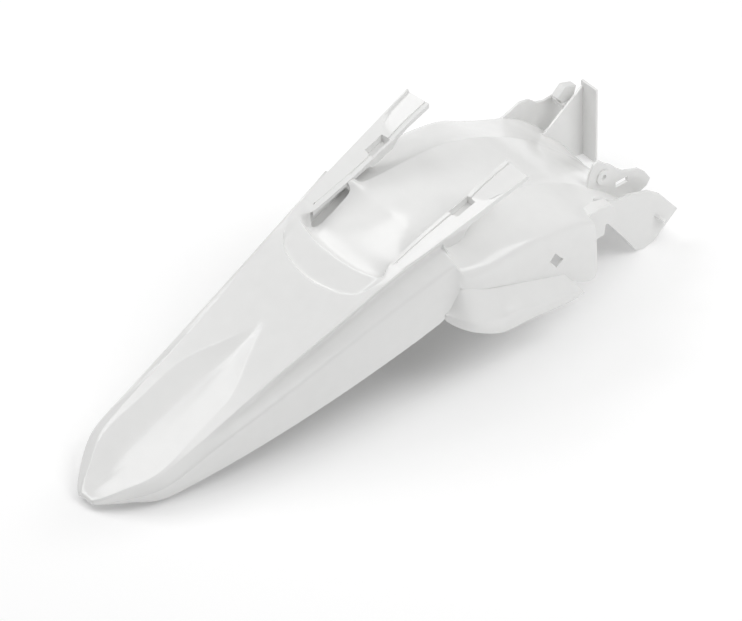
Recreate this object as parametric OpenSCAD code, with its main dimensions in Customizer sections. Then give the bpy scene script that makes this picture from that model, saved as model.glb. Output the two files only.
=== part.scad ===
// Motorcycle rear fender, one injection moulding in one thin-walled shell.
// Axes: +Y to the front of the bike, +X to the rider's right, +Z up, mm.
// It lies as it would on a bench: on the tail tip and the front brackets.

/* [Overall] */
// Length from the tail tip to the front bracket face
overall_length = 736; // [700:1:780]
// Half of the width over the two side wings
wing_half = 132; // [128:1:136]
// Wall of the shell
wall = 2.8; // [2.4:0.1:3.4]

/* [Tail] */
// Rise of the tail per mm of length
tail_rise = 0.415; // [0.38:0.005:0.44]
// Height of the top face at the tail tip
tip_height = 9; // [8:0.5:12]
// Half width of the leaf facet on the tail top
leaf_half = 40; // [34:1:44]
// Depth of the leaf facet at its middle
leaf_dip = 3; // [1:0.5:4]
// Where the leaf facet ends in a point
leaf_end = 238; // [225:1:250]

/* [Seat recess and rails] */
// Depth of the first step of the seat recess
shelf_step = 3; // [2:0.5:5]
// Drop from the rail level to the recess floor
well_depth = 17; // [13:0.5:20]
// Half distance between the inner lips of the rails
lip_half = 55; // [50:1:60]
// Rise of the rails per mm of length
rail_rise = 0.315; // [0.29:0.005:0.34]
// Front end of the rails
rail_end = 506; // [490:1:515]
// How far the rail's inner lip lies below its outer edge
rail_tilt = 3.2; // [2:0.2:4]
// Thickness of the free rail plate
rail_plate = 5; // [4:0.5:7]

/* [Wheel arch] */
// Half distance between the two ridges of the arch
ridge_half = 50; // [46:1:54]
// Half width of the arch at its side walls
arch_half = 112; // [108:1:116]

/* [Mounts] */
// Diameter of the bolt bores in the brackets
bolt_bore = 6.4; // [5.5:0.1:8]
// Diameter of the bolt bosses
bolt_boss = 17; // [14:0.5:20]

/* [Hidden] */
$fn = 32;
mid = overall_length / 2;
// Every place along Y below is written for a 736 mm fender, and stretches with the real length
long = overall_length / 736;
front_flank = 403;

// Value of a curve given as [place, value] pairs, rounded between them
function at(t, y) =
    y <= t[0][0] ? t[0][1] :
    y >= t[len(t) - 1][0] ? t[len(t) - 1][1] :
    let (i = max([for (k = [0 : len(t) - 2]) if (t[k][0] <= y) k]),
         a = (y - t[i][0]) / (t[i + 1][0] - t[i][0]))
    t[i][1] + (t[i + 1][1] - t[i][1]) * a;

function mix(a, b, k) = a + (b - a) * k;
function clamp(v) = min(1, max(0, v));
function ease(v) = let (c = clamp(v)) c * c * (3 - 2 * c);

function top_z(y) = tip_height + tail_rise * y;
function rail_z(y) = top_z(349) + rail_rise * (y - 349);
function level_z(y) = y < 349 ? top_z(y) : rail_z(y);

// Curves along the length, as [place, value]
edge_x = [[0, 9], [4, 13.5], [8, 17], [30, 31], [50, 42], [66, 47], [110, 51], [200, 58.5], [255, 65], [300, 69.5],
          [327, 72], [349, 75], [506, 92]];
flank_x = [[0, 12], [4, 18], [8, 22], [30, 41], [50, 54], [66, 60], [110, 64], [200, 74], [300, 85], [403, 98]];
flank_z = [[0, 5.5], [8, 8], [30, 17], [50, 24], [66, 30], [110, 46], [200, 78], [300, 114], [403, 150]];
low_x = [[0, 9], [8, 19], [30, 35], [59, 50], [366, 103], [403, 106]];
low_z = [[0, 0], [8, 0], [30, 1], [59, 3], [366, 86], [400, 110], [403, 128]];
bowl_x = [[293, 0.5], [294.5, 12], [297, 28], [302, 45], [309, 54], [318, 61], [327, 65], [349, 66]];
leaf_x = [[0, 7], [8, 14], [30, 27], [55, 41], [75, 43], [100, 41], [158, leaf_half - 1], [194, 19],
          [leaf_end, 0.5]];
ridge_z = [[396, 163], [428, 158], [465, 157], [503, 154], [535, 146], [567, 133], [593, 119],
           [633, 92], [667, 61], [689, 40], [708, 19]];
side_z = [[396, 143], [443, 135], [479, 135.5], [513, 131], [544, 126], [567, 120], [581, 111], [621, 91],
          [659, 74], [689, 50], [708, 28]];
root_z = [[396, 121], [408, 118], [491, 88], [525, 73], [545, 58], [561, 48], [575, 41], [590, 70], [621, 75], [659, 56],
          [689, 34], [708, 10]];
side_x = [[396, 104], [420, arch_half - 2], [450, arch_half], [662, arch_half], [708, arch_half - 14]];
floor_z = [[327, 138], [334, 134], [352, 136], [380, 142], [410, 147.5], [440, 151], [470, 152.5],
           [503, 151], [535, 144], [567, 132], [593, 119], [633, 92.5], [667, 62], [689, 41], [708, 20]];

foot_z = [[327, 134.5], [348, 133.5], [360, 139], [376, 146], [390, 152.5], [403, 157.5]];

// Right half of the outer surface at a station, from the centre out
function tail_half(y) =
    let (e = at(edge_x, y), w = at(low_x, y), lz = at(low_z, y), z = level_z(y),
         fx = at(flank_x, y), fz = at(flank_z, y),
         lf = min(at(leaf_x, y), e - 1.5),
         drop = mix(mix(1.2, 4.5, ease(y / 70)), 0, ease((y - 150) / 190)),
         ez = z - drop, s = ease((y - 95) / 170),
         bowl = y < 293 ? 0 : at(bowl_x, y),
         sink = y < 327 ? shelf_step : mix(shelf_step, well_depth, ease((y - 327) / 8)),
         gz = y < 335 ? z - sink : at(floor_z, y),
         lip = y < 335 ? bowl : mix(bowl, lip_half, ease((y - 335) / 14)),
         foot = max(0.4, lip - mix(1.5, 6, clamp((y - 327) / 22))),
         ux = mix(mix(e, fx, 0.4), e - 5, s), uz = mix(mix(ez, fz, 0.3), ez - 13, s),
         vx = mix(mix(e, fx, 0.75), mix(e - 4, fx, 0.4), s), vz = mix(mix(ez, fz, 0.66), mix(ez - 15, fz, 0.55), s),
         rim = [[e, ez], [mix(mix(e, fx, 0.15), e - 1, s), mix(mix(ez, fz, 0.1), ez - 4, s)], [ux, uz],
                [vx, vz], [fx, fz], [mix(fx, w, 0.12), mix(fz, lz, 0.15)], [mix(fx, w, 0.6), mix(fz, lz, 0.6)],
                [w, lz]])
    concat(y >= 293 ?
        let (fz2 = y < 335 ? gz + 0.4 : max(gz + 0.4, at(foot_z, y)), tilt = rail_tilt * ease((y - 322) / 26))
        [[0, gz], [foot * 0.35, mix(gz, fz2, 0.06)], [foot * 0.7, mix(gz, fz2, 0.35)], [foot, fz2],
         [lip, z - tilt], [mix(lip, e, 0.5), z - tilt / 2]]
        :
        let (dip = leaf_dip * ease((leaf_end - y) / 110) * ease(y / 40))
        [[0, z - dip], [lf * 0.5, z - dip * 0.7], [lf, z], [mix(lf, e, 0.3), mix(z, ez, 0.26)],
         [mix(lf, e, 0.6), mix(z, ez, 0.56)], [mix(lf, e, 0.85), mix(z, ez, 0.84)]],
        rim);

function arch_half_line(y) =
    let (r = ridge_half * at([[396, 1], [660, 1], [708, 1.05]], y), rz = at(ridge_z, y),
         fz = at(floor_z, y), sx = at(side_x, y), sz = at(side_z, y), wz = at(root_z, y))
    [[0, fz], [r * 0.35, mix(fz, rz, 0.1)], [r * 0.7, mix(fz, rz, 0.45)], [r * 0.9, mix(fz, rz, 0.86)],
     [r, rz], [r + 5, mix(rz, sz, 0.06)], [mix(r, sx, 0.3), mix(rz, sz, 0.26)],
     [mix(r, sx, 0.6), mix(rz, sz, 0.56)], [mix(r, sx, 0.82), mix(rz, sz, 0.8)], [sx - 5, mix(rz, sz, 0.94)],
     [sx - 1.2, sz - 0.8], [sx, sz - 4], [sx + 0.3, mix(sz - 4, wz, 0.5)], [sx + 0.6, wz]];

// Closed thin wall from half lines: outer face, then the inner face below it
function full(h) = concat([for (i = [len(h) - 1 : -1 : 1]) [-h[i][0], h[i][1]]], h);
function unit(v) = v / max(0.001, norm(v));
function inner(p, t) = [for (i = [0 : len(p) - 1])
    let (a = i > 0 ? unit(p[i] - p[i - 1]) : unit(p[1] - p[0]),
         b = i < len(p) - 1 ? unit(p[i + 1] - p[i]) : a,
         m = unit(a + b), k = 1 / max(0.6, a * m))
    p[i] + [m[1], -m[0]] * t * k];

module skin(stations, halves, t) {
    outs = [for (h = halves) full(h)];
    n = len(outs[0]);
    m = len(stations);
    ins = [for (o = outs) inner(o, t)];
    pts = concat([for (s = [0 : m - 1]) for (p = outs[s]) [p[0], stations[s] * long, p[1]]],
                 [for (s = [0 : m - 1]) for (p = ins[s]) [p[0], stations[s] * long, p[1]]]);
    k = m * n;
    faces = concat(
        [for (s = [0 : m - 2]) for (i = [0 : n - 2]) each
            let (a = s * n + i, b = a + 1, c = a + n, d = c + 1)
            i < (n - 1) / 2 ? [[a, c, b], [b, c, d]] : [[a, c, d], [a, d, b]]],
        [for (s = [0 : m - 2]) for (i = [0 : n - 2]) each
            let (a = k + s * n + i, b = a + 1, c = a + n, d = c + 1)
            i < (n - 1) / 2 ? [[a, b, c], [b, d, c]] : [[a, d, c], [a, b, d]]],
        [for (s = [0 : m - 2]) each
            let (a = s * n, c = a + n, u = k + a, v = k + c,
                 e = s * n + n - 1, g = e + n, w = k + e, x = k + g)
            [[a, u, c], [c, u, v], [e, g, w], [g, x, w]]],
        [for (i = [0 : n - 2]) each
            let (a = i, b = i + 1, c = k + i, d = c + 1,
                 e = (m - 1) * n + i, f = e + 1, g = k + e, h = g + 1)
            [[a, b, c], [b, d, c], [e, g, f], [f, g, h]]]);
    polyhedron(pts, faces, convexity = 12);
}

// Plate standing in a plane of constant X, drawn as [Y, Z] points
module side_plate(x, thick, pts) {
    translate([x + thick / 2, 0, 0]) rotate([90, 0, -90])
        linear_extrude(height = thick) polygon([for (p = pts) [-p[0] * long, p[1]]]);
}

module shell() {
    ys = concat([0, 4, 8, 18, 30, 42, 55, 66, 80, 100, 125, 150, 175, 195, 215, 238, 265, 285, 292.9],
                [293.1, 294.5, 297, 302, 309, 318, 326.9, 331, 335, 341, 349, 366, 385, 400],
                [403, 408, 420, 440, 465, 490, 515, 540, 561, 575, 590, 605, 621, 640, 659, 685, 708]);
    skin(ys, [for (y = ys) y <= front_flank ? tail_half(y) : arch_half_line(y)], wall);
}

rail_slope = atan(rail_rise / long);
module rails() {
    for (s = [-1, 1]) scale([s, 1, 1]) {
        hull() {
            for (y = [386, rail_end - 1]) translate([0, y * long, rail_z(y) - 0.3]) {
                translate([at([[386, 56], [506, 58]], y), 0, -rail_plate - rail_tilt]) cube([1, 1, rail_plate]);
                translate([at(edge_x, y) - 2.5, 0, -rail_plate - 0.4]) cube([1.6, 1, rail_plate]);
            }
        }
    }
}

// Groove that parts the sliding lip from the flat of each rail
module grooves() {
    run = (rail_end + 2 - 360) * long / cos(rail_slope);
    for (s = [-1, 1]) scale([s, 1, 1]) translate([0, 360 * long, rail_z(360) - 4.6]) rotate([rail_slope, 0, 0])
        linear_extrude(height = 6) polygon([[60.4, 0], [61.7, 0], [62.5, run], [61.2, run]]);
}

// Floor of the pocket under each rail, behind its window
module pocket_floors() {
    for (s = [-1, 1]) scale([s, 1, 1]) translate([0, 344 * long, 131.2])
        rotate([atan(0.372 / long), 0, 0]) linear_extrude(height = 2.4)
            polygon([[46, 0], [76.5, 0], [76.5, 62 * long], [46, 62 * long]]);
}

// Side wing: a shelf from the arch wall out to a turned-down rim
wing_root = 101;
wing_in = [[372, 120], [408, 126], [450, 111], [491, 97], [531, 80]];
module wing() {
    w = wing_half;
    outer = [[364, 104, 108, 18], [372, 110, 107.5, 20], [380, 115, 107, 21], [388, 125, 101, 19],
             [398, w - 1.5, 93, 16], [410, w, 87, 14], [433, w, 80.5, 18], [444, w, 82, 22], [455, w, 84.5, 26],
             [473, w, 78, 20], [499, w, 70, 15], [526, w, 67, 14], [546, w, 64, 7]];
    n = len(outer);
    inner_pts = [for (p = outer) let (y = min(531, p[0] + (p[0] < 400 ? 8 : 0))) [y, wing_root, at(wing_in, y)]];
    t = wall;
    rim = [for (p = outer) p[3]];
    pts = [for (q = concat([for (p = inner_pts) [p[1], p[0], p[2]]],
                           [for (p = outer) [p[1], p[0], p[2]]],
                           [for (i = [0 : n - 1]) [outer[i][1] + 0.6, outer[i][0], outer[i][2] - rim[i]]],
                           [for (i = [0 : n - 1]) [outer[i][1] + 0.6 - t, outer[i][0], outer[i][2] - rim[i]]],
                           [for (p = outer) [p[1] - t, p[0], p[2] - t]],
                           [for (p = inner_pts) [p[1], p[0], p[2] - t]])) [q[0], q[1] * long, q[2]]];
    faces = concat(
        [for (r = [0 : 4]) for (i = [0 : n - 2]) each
            [[r * n + i, r * n + i + 1, (r + 1) * n + i], [r * n + i + 1, (r + 1) * n + i + 1, (r + 1) * n + i]]],
        [for (i = [0 : n - 2]) each [[5 * n + i, 5 * n + i + 1, i], [5 * n + i + 1, i + 1, i]]],
        [[0, n, 5 * n], [n, 4 * n, 5 * n], [n, 2 * n, 4 * n], [2 * n, 3 * n, 4 * n]],
        [let (e = n - 1) [e, 5 * n + e, n + e], let (e = n - 1) [n + e, 5 * n + e, 4 * n + e],
         let (e = n - 1) [n + e, 4 * n + e, 2 * n + e], let (e = n - 1) [2 * n + e, 4 * n + e, 3 * n + e]]);
    polyhedron(pts, faces, convexity = 6);
}

// Left bracket: a tall flange on a web, an outer fin, and a clip block between them
module left_bracket() {
    side_plate(-82, 3, [[664, 64], [682, 54], [734, 90], [735, 60], [735, 0], [712, 3], [690, 28], [668, 48]]);
    translate([-84, overall_length - 3, 0]) cube([23, 3, 95]);
    side_plate(-106, 3, [[640, 78], [657, 83], [669, 87], [682, 84], [692, 75], [703, 71.5], [716, 72], [724, 72],
                         [735, 52], [722, 42], [700, 30], [668, 40], [646, 56]]);
    side_plate(-90, 10, [[706, 84], [718, 95.5], [735, 88], [730, 73.5], [719, 69]]);
    translate([-107, 712 * long, 66]) cube([26, 14, 5]);
    translate([-107, 672 * long, 44]) cube([26, 18, 3]);
}

// Right bracket: a bolt eye on a long tab, a lower plate, and a hooked lip
module right_bracket() {
    side_plate(70, 3, [[604, 104], [622, 94], [640, 84], [665, 80], [685, 73], [701, 60], [725, 28], [694, 3],
                       [680, 0], [669, 4], [655, 26], [638, 50], [612, 85]]);
    difference() {
        side_plate(52, 3.4, [[619, 96], [622, 116], [628, 126], [635, 128], [643, 120], [651, 114], [660, 104],
                             [668, 97], [678, 93], [688, 89], [697, 80], [704, 68], [699, 61], [684, 56],
                             [664, 58], [640, 76]]);
        translate([40, 657 * long, 81]) cube([30, 16, 7]);
    }
    translate([52, 639.5 * long, 105]) rotate([0, 90, 0]) cylinder(d = bolt_boss, h = 7, center = true);
    translate([53, 652 * long, 62]) cube([17, 24, 2.8]);
    side_plate(99, 3, [[574, 88], [578, 112], [584, 117], [594, 118], [606, 115], [613, 110], [617, 92], [602, 92],
                       [600, 80], [585, 80]]);
    side_plate(92, 12, [[580, 112], [593, 115.2], [611, 109.5], [612, 112.3], [593, 118], [580, 115]]);
    translate([84.5, 582 * long, 96]) cube([3, 10, 19]);
}

// Webs that carry the free front ends of the rails down to the arch
module rail_webs() {
    for (s = [-1, 1]) side_plate(s * 79.5, 3, [[392, 164.5], [392, 138], [412, 146], [432, 152], [446, 166],
                                              [462, 186], [440, 179.5], [403, 168]]);
}

// Windows under the inner lip of each rail
module slots() {
    for (s = [-1, 1]) side_plate(s * 53.5, 13, [[348, 134.2], [348, 140.6], [400, 162], [400, 158]]);
}

// Closed pocket in the lip of each rail where the seat's clip locks
module clip_cups(cut) {
    for (s = [-1, 1]) scale([s, 1, 1]) translate([0, 428 * long, rail_z(428)]) rotate([rail_slope, 0, 0])
        if (cut) translate([57.2, 1.6, -8.2]) cube([9.4, 25, 12]);
        else translate([55.4, 0, -9.8]) cube([13, 28.2, 5.2]);
}

module front_cut() {
    translate([0, 0, -5]) linear_extrude(height = 150)
        polygon([for (p = [[73, 730], [73, 618], [90, 594], [111, 573.5], [130, 573.5], [130, 730]])
            [p[0], p[1] * long]]);
}

// Small see-through diamond in the right and left arch walls over each wing
module wall_holes() {
    for (s = [-1, 1]) side_plate(s * 111, 16, [[516.8, 98.4], [524, 104.8], [534.7, 92.4], [525.3, 86.4]]);
}

module rear_fender() {
    color([0.93, 0.93, 0.93])
    translate([0, -mid, 0])
    difference() {
        union() {
            difference() {
                shell();
                slots();
                front_cut();
            }
            rails();
            clip_cups(false);
            pocket_floors();
            translate([-8.5, 0.4, 0.5]) cube([17, 3, 6]);
            rail_webs();
            for (s = [-1, 1]) scale([s, 1, 1]) wing();
            left_bracket();
            right_bracket();
        }
        grooves();
        clip_cups(true);
        wall_holes();
        translate([52, 639.5 * long, 105]) rotate([0, 90, 0]) cylinder(d = bolt_bore, h = 30, center = true);
    }
}

rear_fender();
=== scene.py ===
import math

import bmesh
import bpy
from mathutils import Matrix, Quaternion, Vector


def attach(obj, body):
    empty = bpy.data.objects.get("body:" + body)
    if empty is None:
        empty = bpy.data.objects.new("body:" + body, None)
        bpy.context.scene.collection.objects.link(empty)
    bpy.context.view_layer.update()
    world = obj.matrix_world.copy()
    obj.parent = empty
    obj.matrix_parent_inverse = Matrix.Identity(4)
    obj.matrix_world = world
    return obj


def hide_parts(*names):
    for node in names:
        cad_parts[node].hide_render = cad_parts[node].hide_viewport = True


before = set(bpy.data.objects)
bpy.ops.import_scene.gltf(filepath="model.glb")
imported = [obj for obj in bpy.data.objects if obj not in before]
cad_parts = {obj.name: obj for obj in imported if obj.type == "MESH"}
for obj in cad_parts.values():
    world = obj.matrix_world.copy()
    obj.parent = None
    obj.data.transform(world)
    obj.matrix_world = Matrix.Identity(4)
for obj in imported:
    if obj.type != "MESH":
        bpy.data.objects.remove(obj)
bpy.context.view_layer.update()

# The fender shell: one thin injection moulding in glossy white polypropylene.
# A grid is laid over the tail, the seat recess and the wheel arch, then given its wall.
# Its curves run from the tail tip, in millimetres, and the row frame starts 368 mm ahead of it.
TAIL_TO_MIDDLE = 368.0
WALL = 2.8


def metres(x, y, z):
    """A point in the row frame, in metres, from one in millimetres measured from the tail tip."""
    return (x / 1000, (y - TAIL_TO_MIDDLE) / 1000, z / 1000)


def along(curve, y):
    """Smooth value of a curve of (place, value) points, with no overshoot between them."""
    if y <= curve[0][0]:
        return curve[0][1]
    if y >= curve[-1][0]:
        return curve[-1][1]
    i = max(k for k in range(len(curve) - 1) if curve[k][0] <= y)

    def rise(k):
        return (curve[k + 1][1] - curve[k][1]) / (curve[k + 1][0] - curve[k][0])

    def slope(k):
        if k == 0:
            return rise(0)
        if k == len(curve) - 1:
            return rise(k - 1)
        a, b = rise(k - 1), rise(k)
        return 0.0 if a * b <= 0 else 2 * a * b / (a + b)

    h = curve[i + 1][0] - curve[i][0]
    t = (y - curve[i][0]) / h
    return (
        curve[i][1] * (1 + 2 * t) * (1 - t) ** 2
        + slope(i) * h * t * (1 - t) ** 2
        + curve[i + 1][1] * t * t * (3 - 2 * t)
        + slope(i + 1) * h * t * t * (t - 1)
    )


def mix(a, b, k):
    """The value a share k of the way from a to b."""
    return a + (b - a) * k


def ease(v):
    """A soft step from 0 to 1."""
    c = min(1.0, max(0.0, v))
    return c * c * (3 - 2 * c)


# Half widths and heights of the shell's lines, each as (distance from the tail tip, value)
top_edge = [(0, 9), (4, 13.5), (8, 17), (30, 31), (50, 42), (66, 47), (110, 51), (200, 58.5), (255, 65),
            (300, 69.5), (327, 72), (349, 75), (506, 92)]
flank_out = [(0, 12), (4, 18), (8, 22), (30, 41), (50, 54), (66, 60), (110, 64), (200, 74), (300, 85),
             (403, 98)]
flank_up = [(0, 7), (8, 9.8), (30, 17), (50, 24), (66, 30), (110, 46), (200, 78), (300, 114), (403, 150)]
low_out = [(0, 9), (8, 19), (30, 35), (59, 50), (366, 103), (403, 106)]
low_up = [(0, 6), (8, 7.5), (30, 8), (45, 6), (59, 4.6), (75, 7.6), (352, 82), (366, 87), (385, 93),
          (393, 101), (399, 116), (403, 126)]
leaf_edge = [(0, 7), (8, 14), (30, 27), (55, 41), (75, 43), (100, 41), (158, 39), (194, 19), (238, 1.0)]
ridge_up = [(396, 163), (428, 158), (465, 157), (503, 154), (535, 146), (567, 133), (593, 119), (633, 92),
            (667, 61), (689, 40), (708, 19)]
side_up = [(396, 143), (443, 135), (479, 135.5), (513, 131), (544, 126), (567, 120), (581, 111), (621, 91),
           (659, 74), (689, 50), (708, 28)]
root_up = [(396, 121), (408, 118), (491, 88), (525, 73), (545, 58), (561, 48), (580, 41), (593, 70),
           (621, 75), (659, 56), (689, 34), (708, 10)]
side_out = [(396, 104), (420, 110), (450, 112), (662, 112), (708, 98)]
floor_up = [(327, 131.4), (334, 132.8), (352, 136.5), (380, 142), (410, 147.5), (440, 151), (470, 152.5),
            (503, 151), (535, 144), (567, 132), (593, 119), (633, 92.5), (667, 62), (689, 41), (708, 20)]
foot_up = [(335, 134.8), (348, 134.5), (360, 139.5), (376, 147), (390, 154.5), (403, 161)]
lip_out = [(318, 63), (331, 65.5), (338, 64), (344, 60), (351, 56), (403, 55)]
foot_out = [(309, 56.5), (325, 58), (335, 58), (345, 53), (351, 49.5), (403, 49)]

# The grid's columns, counted from the middle line to the lower edge
LEAF, FOOT, LIP, EDGE, GROOVE_FOOT, COLUMNS = 3, 4, 5, 7, 11, 15
top_columns = [0, 16, 32, 46, 56, 63, 67]
floor_share = [0, 0.04, 0.2, 0.52, 1]
LEAF_DIP = 4.8
RAIL_TILT = 3.2
STEP_DROP = 3.2


def level(y):
    """Height of the tail's top, and of the rails that carry on at a lower slope."""
    return 9 + 0.415 * y if y < 349 else 153.8 + 0.315 * (y - 349)


def flank_points(y):
    """The eight points from the top edge, through the undercut, down to the lower edge."""
    e, z = along(top_edge, y), level(y)
    drop = mix(1.2, 0.4, ease(y / 60))
    ez, s = z - drop, ease((y - 95) / 170)
    fx, fz = along(flank_out, y), along(flank_up, y)
    w, lz = along(low_out, y), along(low_up, y)
    return [
        (e, ez),
        (mix(mix(e, fx, 0.15), e - 1, s), mix(mix(ez, fz, 0.1), ez - 4, s)),
        (mix(mix(e, fx, 0.4), e - 5, s), mix(mix(ez, fz, 0.3), ez - 13, s)),
        (mix(mix(e, fx, 0.75), mix(e - 4, fx, 0.4), s), mix(mix(ez, fz, 0.66), mix(ez - 15, fz, 0.55), s)),
        (fx, fz),
        (mix(fx, w, 0.12), mix(fz, lz, 0.15)),
        (mix(fx, w, 0.9), mix(fz, lz, 0.9)),
        (w, lz),
    ]


def flank_point(y, col):
    x, z = flank_points(y)[col - EDGE]
    return (x, y, z)


def tail_point(y, col):
    """A point of the tail's top or flank, with the leaf facet dished along the middle."""
    if col >= EDGE:
        return flank_point(y, col)
    e, ez = flank_points(y)[0]
    leaf = min(along(leaf_edge, y), e - 1.5)
    x = [0, 0.36, 0.72, 1][col] * leaf if col <= LEAF else mix(leaf, e, [0.3, 0.6, 0.85][col - FOOT])
    if y > 200:
        x = mix(x, top_columns[col], ease((y - 225) / 60))
    z = level(y)
    if x <= leaf:
        z -= LEAF_DIP * ease((238 - y) / 60) * ease(y / 40) * (1 - (x / max(leaf, 1)) ** 1.3)
    else:
        z = mix(z, ez, ((x - leaf) / max(1.0, e - leaf)) ** 1.1)
    return (x, y, z)


# Where each row of the grid crosses the tail, and how the rows bend into the U of the recess
tail_rows = [0, 4, 10, 20, 32, 45, 58, 72, 88, 105, 122, 140, 158, 176, 194, 210, 225, 238, 250, 262, 273,
             283]
bend_share = {250: 0.08, 262: 0.25, 273: 0.5, 283: 0.8}
recess_rows = [
    [293, 294.5, 297.5, 302, 309, 318, 321, 323],
    [294.8, 296.3, 299.2, 303.6, 310, 319.5, 323, 325],
    [306, 306.5, 308, 311, 316, 325, 328, 330],
    [317, 317.5, 318.5, 321, 326, 331, 334, 336],
    [327, 327.6, 329, 332.5, 335, 338, 341, 342],
    [331.5, 332.2, 333.6, 337, 339, 343, 345, 346],
    [341, 341.5, 342.5, 344, 345, 347, 348, 349],
]
well_rows = [351, 360, 372, 384, 395, 402.5]
arch_rows = [407, 414, 424, 438, 454, 470, 487, 503, 519, 535, 550, 565, 580, 593, 606, 620, 634, 648, 660,
             672, 684, 696, 708]


def recess_point(row, col):
    """A point of the seat recess: its rim, the U-shaped step, or the floor beyond the second step."""
    y = recess_rows[row][min(col, EDGE)]
    if col >= EDGE:
        return flank_point(y, col)
    z = level(y)
    if row == 0:
        return (top_columns[col], y, z)
    if col >= LIP:
        tilt = RAIL_TILT * ease((y - 322) / 26)
        lip = along(lip_out, y)
        x = lip if col == LIP else mix(lip, along(top_edge, y), 0.5)
        return (x, y, z - tilt * (1 if col == LIP else 0.5))
    x = along(foot_out, y) * [0, 0.29, 0.58, 0.83, 1][col]
    if row <= 4:
        return (x, y, z - STEP_DROP)
    return (x, y, mix(along(floor_up, y), along(foot_up, y), floor_share[col]))


def well_point(y, col):
    """A point beside or on the recess floor, where the rails pass and the windows open."""
    if col >= EDGE:
        return flank_point(y, col)
    z = level(y)
    if col >= LIP:
        e, lip = along(top_edge, y), along(lip_out, y)
        low = 0.6 if y > 355 else 0
        x, tilt = (lip, RAIL_TILT) if col == LIP else (mix(lip, e, 0.5), RAIL_TILT / 2)
        return (x, y, z - tilt - low)
    rise = floor_share[col] * (along(foot_up, y) - along(floor_up, y))
    return (along(foot_out, y) * [0, 0.3, 0.6, 0.84, 1][col], y, along(floor_up, y) + rise)


def arch_point(y, col):
    """A point of the wheel arch: a shallow valley, a ridge, a shoulder and the upright side."""
    r = 50.0
    rz, fz, sx, sz = along(ridge_up, y), along(floor_up, y), along(side_out, y), along(side_up, y)
    wz = along(root_up, y)
    inner = mix(0.4, 0.325, ease((y - 596) / 14))
    shape = [
        (0, fz), (r * 0.3, mix(fz, rz, 0.05)), (r * 0.6, mix(fz, rz, 0.25)), (r * 0.84, mix(fz, rz, 0.62)),
        (r - 1, rz), (r + 2.5, mix(rz, sz, 0.06)), (mix(r, sx, 0.22), mix(rz, sz, 0.2)),
        (mix(r, sx, inner), mix(rz, sz, inner - 0.03)), (mix(r, sx, 0.58), mix(rz, sz, 0.56)),
        (mix(r, sx, 0.74), mix(rz, sz, 0.74)), (mix(r, sx, 0.89), mix(rz, sz, 0.92)),
        (sx - 2.5, sz - 4), (sx - 0.6, mix(sz - 4, wz, 0.22)), (sx + 0.2, mix(sz - 4, wz, 0.55)),
        (sx + 0.6, wz),
    ]
    return (shape[col][0], y, shape[col][1])


# The first row closes the tail's tip, with the grid's end drawn in and down
rows = [[(tail_point(0, c)[0] * 0.94, 0.3, 5.8) for c in range(COLUMNS)]]
for y in tail_rows:
    lead = bend_share.get(y, 0)
    rows.append([tail_point(y + lead * (recess_rows[0][min(c, EDGE)] - recess_rows[0][0]), c)
                 for c in range(COLUMNS)])
rows += [[recess_point(number, c) for c in range(COLUMNS)] for number in range(len(recess_rows))]
rows += [[well_point(y, c) for c in range(COLUMNS)] for y in well_rows]
rows += [[arch_point(y, c) for c in range(COLUMNS)] for y in arch_rows]
step_row = len(tail_rows) + 1
shelf_row = step_row + 4
flank_row = step_row + len(recess_rows) + len(well_rows) - 1
window_rows = range(flank_row - 6, flank_row)

MIDDLE = COLUMNS - 1
ACROSS = 2 * COLUMNS - 1
bpy.ops.object.select_all(action="DESELECT")
bpy.ops.mesh.primitive_grid_add(x_subdivisions=ACROSS - 1, y_subdivisions=len(rows) - 1, size=1)
shell = bpy.context.object
shell.name = "fender_shell"
for index, vertex in enumerate(shell.data.vertices):
    row, column = divmod(index, ACROSS)
    side = 1 if column >= MIDDLE else -1
    x, y, z = rows[row][abs(column - MIDDLE)]
    vertex.co = metres(side * x, y, z)

bm = bmesh.new()
bm.from_mesh(shell.data)
bm.verts.ensure_lookup_table()
place = {v: (v.index // ACROSS, abs(v.index % ACROSS - MIDDLE)) for v in bm.verts}


def hold_along(column, row):
    """How sharply an edge that runs along the fender keeps its line."""
    if column == LEAF and row < 17:
        return 0.75
    if column == EDGE and 7 < row < flank_row:
        return 0.65 if row > 9 else 0.35
    if column == LIP and step_row <= row < flank_row:
        return 0.7
    if column == FOOT and step_row <= row < step_row + 6:
        return 0.4
    if column == FOOT and row >= flank_row:
        return 0.75
    if column == GROOVE_FOOT and row < flank_row:
        return 0.25
    return 0.0


def hold_across(row, column):
    """How sharply an edge that runs across the fender keeps its line."""
    if row == step_row and column < 5:
        return 0.7
    if row == step_row + 1 and column < 4:
        return 0.4
    if row == shelf_row and column < 5:
        return 0.6
    if row == flank_row and column >= 5:
        return 0.7
    return 0.0


crease = bm.edges.layers.float.new("crease_edge")
for edge in bm.edges:
    (r0, c0), (r1, c1) = place[edge.verts[0]], place[edge.verts[1]]
    edge[crease] = hold_along(c0, min(r0, r1)) if c0 == c1 else hold_across(r0, min(c0, c1))
window = [f for f in bm.faces
          if {place[v][0] for v in f.verts} <= set(window_rows)
          and {place[v][1] for v in f.verts} == {FOOT, LIP}]
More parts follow.
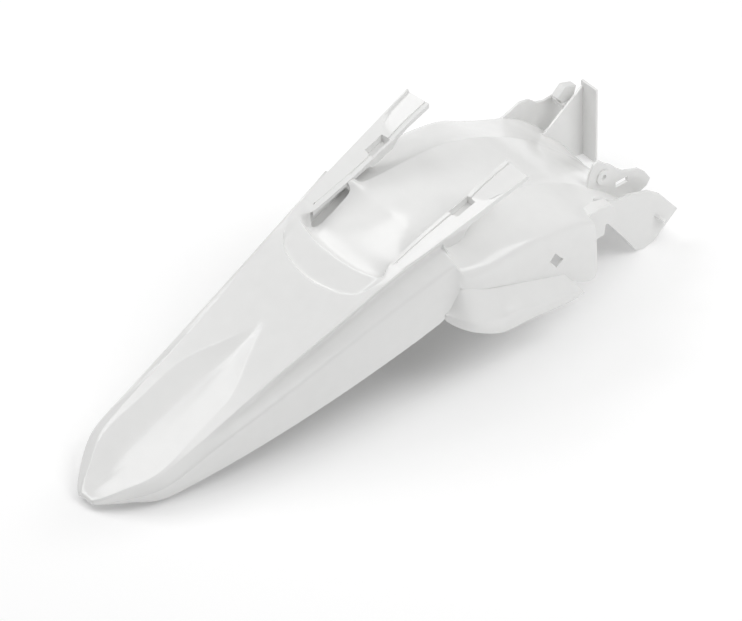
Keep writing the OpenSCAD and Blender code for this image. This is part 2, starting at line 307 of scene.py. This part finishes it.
# The sheet stops short at the right front, along a slanted line of (distance out, place) points
front_line = [(73, 618), (90, 594), (111, 574)]
front = [f for f in bm.faces
         if f.calc_center_median().x > front_line[0][0] / 1000
         and f.calc_center_median().y * 1000 + TAIL_TO_MIDDLE
         > along(front_line, f.calc_center_median().x * 1000)]
bmesh.ops.delete(bm, geom=list(set(window + front)), context="FACES")
floor_points = [v for v in bm.verts if v in place and place[v][1] < FOOT
                and flank_row - 5 < place[v][0] < flank_row + 14]
for turn in range(10):
    bmesh.ops.smooth_vert(bm, verts=floor_points, factor=0.5, use_axis_z=True)
bm.normal_update()
if sum(f.normal.z for f in bm.faces) < 0:
    bmesh.ops.reverse_faces(bm, faces=bm.faces)
bm.to_mesh(shell.data)
bm.free()


def finish_modifiers(piece, *steps):
    """Adds each modifier with its settings and applies it."""
    bpy.ops.object.select_all(action="DESELECT")
    bpy.context.view_layer.objects.active = piece
    piece.select_set(True)
    for kind, settings in steps:
        made = piece.modifiers.new(kind.title(), kind)
        for key, value in settings.items():
            setattr(made, key, value)
        bpy.ops.object.modifier_apply(modifier=made.name)


def rounded(width, angle):
    """A small bevel, in metres, on every edge sharper than that many degrees."""
    return ("BEVEL", {"width": width, "segments": 2, "limit_method": "ANGLE",
                      "angle_limit": math.radians(angle)})


SOFT_ANGLE = 38
smooth_twice = ("SUBSURF", {"levels": 2, "render_levels": 2})
finish_modifiers(
    shell,
    smooth_twice,
    ("SOLIDIFY", {"thickness": WALL / 1000, "offset": -1.0, "use_even_offset": True, "thickness_clamp": 0.6}),
    rounded(0.0006, 50),
)
# At the tip's two sharp corners the inner wall runs out past the tip, so those points go back inside
for vertex in shell.data.vertices:
    if vertex.co.y < -0.3685:
        vertex.co.y = -0.3665
bpy.ops.object.shade_smooth_by_angle(angle=math.radians(SOFT_ANGLE))


# Moulded white polypropylene: a glossy skin with a faint mould ripple, a little light passing under it.
def linear(hex_colour):
    """sRGB hex to the linear colour that a shader takes."""
    parts = [int(hex_colour[i:i + 2], 16) / 255 for i in (1, 3, 5)]
    return [*(c / 12.92 if c <= 0.04045 else ((c + 0.055) / 1.055) ** 2.4 for c in parts), 1.0]


moulded = bpy.data.materials.new("moulded_white_polypropylene")
moulded.use_nodes = True
tree = moulded.node_tree
tree.nodes.clear()


def add(kind, links=(), **settings):
    """Adds a node, sets its properties or sockets by name, and links its inputs."""
    node = tree.nodes.new(kind)
    for key, value in settings.items():
        name = key.replace("__", " ")
        if name in node.inputs:
            node.inputs[name].default_value = value
        else:
            setattr(node, key, value)
    for source, output, socket in links:
        tree.links.new(source.outputs[output], node.inputs[socket])
    return node


where = add("ShaderNodeTexCoord")
# A mould ripple about 14 mm across and some hundredths of a millimetre high, and a far lower 1 mm grain
ripple = add("ShaderNodeTexNoise", [(where, "Object", "Vector")], Scale=70.0, Detail=2.0, Roughness=0.45)
grain = add("ShaderNodeTexNoise", [(where, "Object", "Vector")], Scale=900.0, Detail=3.0, Roughness=0.6)
polish = add("ShaderNodeMapRange", [(ripple, "Fac", "Value")], To__Min=0.15, To__Max=0.2)
bump = add("ShaderNodeBump", [(ripple, "Fac", "Height")], Strength=0.05, Distance=0.0004)
fine = add("ShaderNodeBump", [(grain, "Fac", "Height"), (bump, "Normal", "Normal")],
           Strength=0.03, Distance=0.0001)
tone = add("ShaderNodeMix", [(ripple, "Fac", "Factor")], data_type="RGBA")
tone.inputs[6].default_value = linear("#EDEDEC")
tone.inputs[7].default_value = linear("#F1F1F0")
plastic = add("ShaderNodeBsdfPrincipled",
              [(tone, 2, "Base Color"), (polish, "Result", "Roughness"), (fine, "Normal", "Normal")],
              IOR=1.49, Subsurface__Weight=0.08, Subsurface__Radius=(1.0, 1.0, 1.0), Subsurface__Scale=0.002)
add("ShaderNodeOutputMaterial", [(plastic, "BSDF", "Surface")])


def settle(piece):
    """The piece takes the plastic, rides on the one body and stands for the CAD node."""
    piece.data.materials.clear()
    piece.data.materials.append(moulded)
    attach(piece, "root")
    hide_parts("rear_fender")


def outline_face(name, corners):
    """A flat face with its corners at those points, in millimetres from the tail tip."""
    bpy.ops.object.select_all(action="DESELECT")
    bpy.ops.mesh.primitive_circle_add(vertices=len(corners), fill_type="NGON")
    face = bpy.context.object
    face.name = name
    for vertex, corner in zip(face.data.vertices, corners):
        vertex.co = metres(*corner)
    return face


def extrude_across(depth):
    """The selected face becomes a solid of that depth, in metres along X."""
    bpy.ops.object.mode_set(mode="EDIT")
    bpy.ops.mesh.select_all(action="SELECT")
    bpy.ops.mesh.extrude_region_move(TRANSFORM_OT_translate={"value": (depth, 0, 0)})
    bpy.ops.mesh.select_all(action="SELECT")
    bpy.ops.mesh.normals_make_consistent(inside=False)
    bpy.ops.object.mode_set(mode="OBJECT")


# A diamond hole goes straight through both side walls of the arch
diamond_outline = [(516.8, 98.4), (524, 104.8), (534.7, 92.4), (525.3, 86.4)]
diamond = outline_face("diamond_cutter", [(-150, y, z) for y, z in diamond_outline])
extrude_across(0.3)
finish_modifiers(shell, ("BOOLEAN", {"object": diamond, "operation": "DIFFERENCE", "solver": "EXACT"}))
bpy.data.objects.remove(diamond, do_unlink=True)
bpy.ops.object.shade_smooth_by_angle(angle=math.radians(SOFT_ANGLE))
settle(shell)

# The seat rails: a grooved strip on each side that the seat's foot slides along.
# Each runs from the recess corner to a square-cut free end over the wheel arch.
# The groove parts the inner lip from the flat, and the lip is broken by one notch.
def shade_flats(piece):
    """Smooth shading over the small bevels that leaves the flats looking flat."""
    bpy.ops.object.shade_smooth_by_angle(angle=math.radians(30))
    finish_modifiers(piece, ("WEIGHTED_NORMAL", {"keep_sharp": True}))


rail_rows = [350, 358, 372, 388, 404, 416, 424, 428, 429.5, 430.5, 442, 453.5, 455, 456.5, 464, 478, 492, 506]
lip_deep = [(350, 5.6), (376, 5.0), (404, 4.6), (420, 5.4), (506, 5.4)]
RAIL_POINTS = 10


def rail_section(y):
    """The rail's ten points at one place, from under the inner lip over the top to the outer edge."""
    inner = along(lip_out, y) if y < 403 else 55 + (y - 403) * 0.03
    outer = along(top_edge, y) - 0.8 - 1.6 * ease((364 - y) / 12)
    in_notch, by_notch = 429.5 < y < 455, 427 < y < 457
    pocket = 8.0 if in_notch else 0.0
    wall, groove = inner + 1.8, inner + (13.0 if in_notch else 5.4)
    narrow = ease((y - 456) / 18)
    tilt = RAIL_TILT * (1 - narrow)

    def top(x):
        return level(y) - tilt * (outer - x) / (outer - inner) - (1.0 if y < 352 else 0.0)

    dip = max(1.6 * ease((y - 353) / 8), pocket)
    sunk, rim = outer - mix(12, 2.8, narrow), outer - mix(6, 1.5, narrow)
    return [
        (inner, top(inner) - along(lip_deep, y) - (5.4 if by_notch else 0)), (inner, top(inner) + 0.2),
        (wall if in_notch else groove - 1.1, top(groove) + (0.0 if in_notch else 0.3)),
        (wall + 0.5 if in_notch else groove - 0.5, top(groove) - dip),
        (groove + 0.4, top(groove) - dip), (groove + 0.9, top(groove)),
        (sunk, top(sunk) - 3.0 * narrow),
        (rim, top(rim)), (outer, top(outer)),
        (outer, top(outer) - (5.4 + (2.6 if by_notch else 0) if y > 404 else 2.4)),
    ]


for side in (1, -1):
    bpy.ops.object.select_all(action="DESELECT")
    bpy.ops.mesh.primitive_cylinder_add(vertices=RAIL_POINTS, depth=1, end_fill_type="NGON")
    rail = bpy.context.object
    rail.name = "seat_rail_right" if side > 0 else "seat_rail_left"
    bm = bmesh.new()
    rings = [[bm.verts.new(metres(side * x, y, z)) for x, z in rail_section(y)] for y in rail_rows]
    for a, b in zip(rings, rings[1:]):
        for i in range(RAIL_POINTS):
            j = (i + 1) % RAIL_POINTS
            bm.faces.new((a[i], a[j], b[j], b[i]))
    bm.faces.new(rings[0])
    bm.faces.new(list(reversed(rings[-1])))
    bmesh.ops.recalc_face_normals(bm, faces=bm.faces)
    bm.to_mesh(rail.data)
    bm.free()
    finish_modifiers(rail, rounded(0.0005, 30))
    shade_flats(rail)
    settle(rail)

# Below each rail: the closed pocket behind its window, with a floor and an upright back.
# Ahead of it stands the web that carries the rail's free end, moulded in the same plastic.
WEB_OUT = 74.0
web_outline = [(392, 138), (412, 146), (432, 152), (446, 166), (462, 186), (440, 179.5), (403, 168),
               (392, 164.5)]
for side in (1, -1):
    for name, corners in (
        ("window_pocket", [(46, 344, 125), (76.5, 344, 125), (76.5, 402, 146.5), (46, 402, 146.5)]),
        ("window_back", [(65, 344, 124), (65, 402, 146), (65, 402, 164), (65, 344, 145)]),
        ("rail_web", [(WEB_OUT, y, z) for y, z in web_outline]),
    ):
        panel = outline_face(name + ("_right" if side > 0 else "_left"),
                             [(side * x, y, z) for x, y, z in corners])
        finish_modifiers(panel, ("SOLIDIFY", {"thickness": WALL / 1000, "offset": 0.0}), rounded(0.0006, 50))
        shade_flats(panel)
        settle(panel)

# The side wings: a shelf on each side of the arch that closes the gap to the side panels.
# Each has a turned-down rim, deep at the rear corner and shallow at the front.
# The rim is given as (place, distance out, height, depth), the root and the shelf as (place, height).
wing_rim = [(384, 105, 98.5, 8), (387.5, 111, 97.6, 11), (391.5, 118, 96.4, 12.5), (397, 125, 94.4, 13),
            (404, 129.6, 91.4, 13.5), (413, 131.6, 87.4, 14), (423, 132, 83.6, 16), (433, 132, 80.4, 18),
            (439, 132, 80.2, 20), (446, 132, 82.2, 23), (455, 132, 81.6, 24), (464, 132, 79, 21),
            (480, 132, 74.5, 18), (500, 132, 68.8, 15), (524, 132, 62.5, 12), (540, 132, 58, 8),
            (546, 131.6, 56.5, 5)]
wing_root = [(384, 97), (392, 104), (398, 116), (403, 126), (410, 127), (450, 112), (491, 97.5), (531, 80)]
wing_plane = [(384, 98.5), (404, 92), (430, 84), (464, 78.5), (500, 68.8), (546, 57)]
WING_POINTS = 7
for side in (1, -1):
    lines = []
    for y, x, z, rim in wing_rim:
        yi = min(531, y + 6 * ease((y - 384) / 8) * ease((430 - y) / 30))
        zi, flat = along(wing_root, yi), along(wing_plane, y)
        xi = mix(101.5, 104, ease((y - 384) / 20))
        lines.append([(xi, yi, zi), (mix(xi, x, 0.3), mix(yi, y, 0.3), mix(zi, flat, 0.34)),
                      (mix(xi, x, 0.65), mix(yi, y, 0.65), mix(zi, flat, 0.7)),
                      (mix(xi, x, 0.93), mix(yi, y, 0.93), mix(zi, z, 0.95)),
                      (x + 0.2, y, z - 1.2), (x - 0.8, y, z - rim * 0.6), (x - 3, y, z - rim)])
    bpy.ops.object.select_all(action="DESELECT")
    bpy.ops.mesh.primitive_grid_add(x_subdivisions=WING_POINTS - 1, y_subdivisions=len(lines) - 1, size=1)
    wing = bpy.context.object
    wing.name = "side_wing_right" if side > 0 else "side_wing_left"
    for index, vertex in enumerate(wing.data.vertices):
        row, column = divmod(index, WING_POINTS)
        x, y, z = lines[row][column]
        vertex.co = metres(side * x, y, z)
    if side < 0:
        wing.data.flip_normals()
    finish_modifiers(
        wing,
        smooth_twice,
        ("SOLIDIFY", {"thickness": WALL / 1000, "offset": -1.0, "use_even_offset": True}),
        rounded(0.0006, 50),
    )
    bpy.ops.object.shade_smooth_by_angle(angle=math.radians(SOFT_ANGLE))
    settle(wing)

# The front brackets: upright plates that bolt the moulding to the subframe.
# The left one is a tall fin with a turned flange; the right one has a bolt eye and a lower plate.
# They are moulded with the shell in the same white plastic, most of them about 3 mm thick.
def plate(name, x, thick, outline):
    """A plate of that thickness standing across X, from an outline of (y, z) points."""
    piece = outline_face(name, [(x - thick / 2, y, z) for y, z in outline])
    extrude_across(thick / 1000)
    finish_modifiers(piece, rounded(0.0007, 30))
    shade_flats(piece)
    return piece


def block(name, low, high):
    """A square block between two corners, in millimetres from the tail tip."""
    bpy.ops.object.select_all(action="DESELECT")
    bpy.ops.mesh.primitive_cube_add(size=1)
    piece = bpy.context.object
    piece.name = name
    for vertex in piece.data.vertices:
        vertex.co = metres(*(low[k] if vertex.co[k] < 0 else high[k] for k in range(3)))
    finish_modifiers(piece, rounded(0.0008, 30))
    shade_flats(piece)
    return piece


front_pieces = [
    plate("left_bracket_web", -82, 3, [(664, 64), (682, 54), (734, 90), (735, 60), (735, 0), (712, 3),
                                       (690, 28), (668, 48)]),
    block("left_bracket_flange", (-84, 733, 0), (-61, 736, 95)),
    plate("left_bracket_fin", -106, 3, [(640, 78), (657, 83), (669, 87), (682, 84), (692, 75), (703, 71.5),
                                        (716, 72), (724, 72), (735, 52), (722, 42), (700, 30), (668, 40),
                                        (646, 56)]),
    plate("left_bracket_clip", -95, 9, [(707, 80), (718, 90), (733, 84), (729, 69.5), (719, 65)]),
    block("left_bracket_upper_tie", (-107, 712, 66), (-81, 726, 71)),
    block("left_bracket_lower_tie", (-107, 672, 44), (-81, 690, 47)),
    plate("right_bracket_plate", 70, 3, [(604, 104), (622, 94), (640, 84), (665, 80), (685, 73), (701, 60),
                                         (725, 28), (694, 3), (680, 0), (669, 4), (655, 26), (638, 50),
                                         (612, 85)]),
    block("right_bracket_tie", (53, 652, 62), (70, 676, 64.8)),
    plate("right_bracket_hook", 99, 3, [(574, 88), (578, 112), (584, 117), (594, 118), (606, 115),
                                        (613, 110), (617, 92), (602, 92), (600, 80), (585, 80)]),
    plate("right_hook_roof", 92, 12, [(580, 112), (593, 115.2), (611, 109.5), (612, 112.3), (593, 118),
                                      (580, 115)]),
    block("right_hook_side", (84.5, 582, 96), (87.5, 592, 115)),
]
# The right one's bolt tab has a round boss, a through hole and a slot
tab = plate("right_bracket_tab", 52, 3.4, [(619, 96), (622, 116), (628, 126), (635, 128), (643, 120),
                                           (651, 114), (660, 104), (668, 97), (678, 93), (688, 89),
                                           (697, 80), (704, 68), (699, 61), (684, 56), (664, 58),
                                           (640, 76)])
hub_at = metres(52, 639.5, 105)
slot_at = metres(52, 665, 84.5)


def cutter(kind, at, size):
    """A tool body for a boolean, turned to lie along X."""
    bpy.ops.object.select_all(action="DESELECT")
    if kind == "round":
        bpy.ops.mesh.primitive_cylinder_add(vertices=48, radius=size[0], depth=size[1], location=at,
                                            rotation=(0, math.pi / 2, 0))
    else:
        bpy.ops.mesh.primitive_cube_add(size=1, location=at, scale=size)
    made = bpy.context.object
    bpy.ops.object.transform_apply(location=True, rotation=True, scale=True)
    return made


for kind, at, size, operation in (("round", hub_at, (0.0085, 0.007), "UNION"),
                                  ("round", hub_at, (0.0032, 0.02), "DIFFERENCE"),
                                  ("box", slot_at, (0.02, 0.016, 0.007), "DIFFERENCE")):
    tool = cutter(kind, at, size)
    finish_modifiers(tab, ("BOOLEAN", {"object": tool, "operation": operation, "solver": "EXACT"}))
    bpy.data.objects.remove(tool, do_unlink=True)
shade_flats(tab)
for piece in front_pieces + [tab]:
    settle(piece)

# The stage: a white paper floor that keeps the soft shadow, with the photo's own high three-quarter view.
# The paper's emission is painted light: it glows beyond an ellipse under the fender, so the background stays
# pure white, and the ellipse left dim is painted shade that deepens and shapes the fender's own shadow.
bpy.ops.object.select_all(action="DESELECT")
bpy.ops.mesh.primitive_plane_add(size=8, location=(0, 0, 0))
floor = bpy.context.object
floor.name = "studio_floor"
paper = bpy.data.materials.new("white_studio_paper")
paper.use_nodes = True
tree = paper.node_tree
paper_skin = tree.nodes["Principled BSDF"]
for socket, value in (("Base Color", linear("#E7E7E7")), ("Roughness", 0.9), ("Specular IOR Level", 0.0),
                      ("Emission Color", linear("#FFFFFF"))):
    paper_skin.inputs[socket].default_value = value
# Painted light and painted shadow on the floor: the emission stays near 0.01 inside an ellipse under the
# fender and rises to 0.28 outside it
painted_shadow_ellipse = add("ShaderNodeMapping", [(add("ShaderNodeTexCoord"), "Object", "Vector")],
           Location=(-0.14, 0.07, 0.0), Scale=(14.0, 3.6, 0.0))
away = add("ShaderNodeVectorMath", [(painted_shadow_ellipse, "Vector", "Vector")], operation="LENGTH")
glow = add("ShaderNodeMapRange", [(away, "Value", "Value")], interpolation_type="SMOOTHSTEP",
           From__Min=0.4, From__Max=1.7, To__Min=0.01, To__Max=0.28)
tree.links.new(glow.outputs["Result"], paper_skin.inputs["Emission Strength"])
floor.data.materials.append(paper)

# The camera stands far off with a long lens, where one pixel of the picture is one millimetre.
scene = bpy.context.scene
PICTURE_WIDTH, LENS, SENSOR = 0.742, 1200, 36
across = Vector((0.6613, 0.7501, 0))
back = Vector((0.5746, -0.5066, 0.6428))
up = back.cross(across)
camera_data = bpy.data.cameras.new("photo_camera")
camera = bpy.data.objects.new("photo_camera", camera_data)
scene.collection.objects.link(camera)
camera_data.lens = LENS
camera.location = across * 0.007 + up * 0.0361 + back * (PICTURE_WIDTH * LENS / SENSOR)
camera.rotation_mode = "QUATERNION"
camera.rotation_quaternion = (-back).to_track_quat("-Z", "Y")
camera_data.clip_start = 1
camera_data.clip_end = 60
scene.camera = camera


def lamp(name, place, aim_at, size, power, roll=0):
    """A soft studio lamp at that place, facing that point, rolled by some degrees."""
    data = bpy.data.lights.new(name, "AREA")
    data.shape = "RECTANGLE"
    data.size, data.size_y = size
    data.energy = power
    thing = bpy.data.objects.new(name, data)
    scene.collection.objects.link(thing)
    thing.location = place
    thing.rotation_mode = "QUATERNION"
    facing = (Vector(aim_at) - Vector(place)).to_track_quat("-Z", "Y")
    thing.rotation_quaternion = facing @ Quaternion((0, 0, 1), math.radians(roll))


arch_top = (0, 0, 0.1)
lamp("key_softbox_left", (-1.397, 0.108, 1.425), arch_top, (1.4, 0.56), 7.4, -20)
lamp("key_softbox_rear", (-1.275, -0.745, 1.7), (0.21, -0.946, 0.375), (0.6, 0.6), 5)
lamp("overhead_softbox", (0, 0, 2.6), arch_top, (2.8, 2.8), 15)
lamp("fill_front_right", (1.1, 0.9, 1.65), arch_top, (1.2, 1.2), 15)
lamp("fill_behind_left", (-0.9, -1.4, 1.2), arch_top, (1.2, 1.2), 2)

# The room's light: a soft grey on the fender, and pure white where the camera looks past the floor
world = bpy.data.worlds.new("studio")
scene.world = world
world.use_nodes = True
tree = world.node_tree
tree.nodes.clear()
seen = add("ShaderNodeLightPath")
sky = add("ShaderNodeBackground", Strength=0.34, Color=(1, 1, 1, 1))
plain = add("ShaderNodeBackground", Strength=1.0, Color=(1, 1, 1, 1))
choose = add("ShaderNodeMixShader",
             [(seen, "Is Camera Ray", 0), (sky, "Background", 1), (plain, "Background", 2)])
add("ShaderNodeOutputWorld", [(choose, "Shader", "Surface")])
scene.view_settings.view_transform = "Standard"
